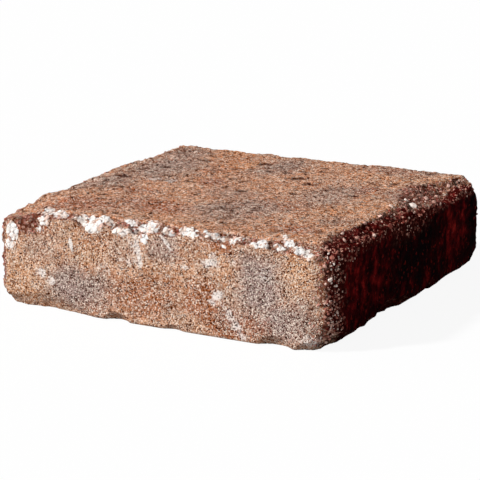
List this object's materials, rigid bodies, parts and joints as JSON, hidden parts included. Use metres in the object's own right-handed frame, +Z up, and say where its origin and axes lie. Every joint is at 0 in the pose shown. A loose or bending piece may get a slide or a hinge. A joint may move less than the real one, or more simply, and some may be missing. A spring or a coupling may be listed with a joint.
{
  "type": "concrete paving stone",
  "caption": "Square tumbled concrete paving stone in blended earth colours, with rounded corners and spalled arrises, to lay flat on a bed.",
  "frame": {"origin": "middle of the base, on the surface that the stone lies on", "axes": "+Z up through the thickness, +X along the front face to the right, +Y from the front face to the back"},
  "size_m": [0.175, 0.176, 0.048],
  "materials": {
    "concrete": "matte, sandy dry-cast concrete with blended iron-oxide pigments"
  },
  "bodies": {
    "root": {"paving_stone": "concrete"}
  },
  "joints": []
}
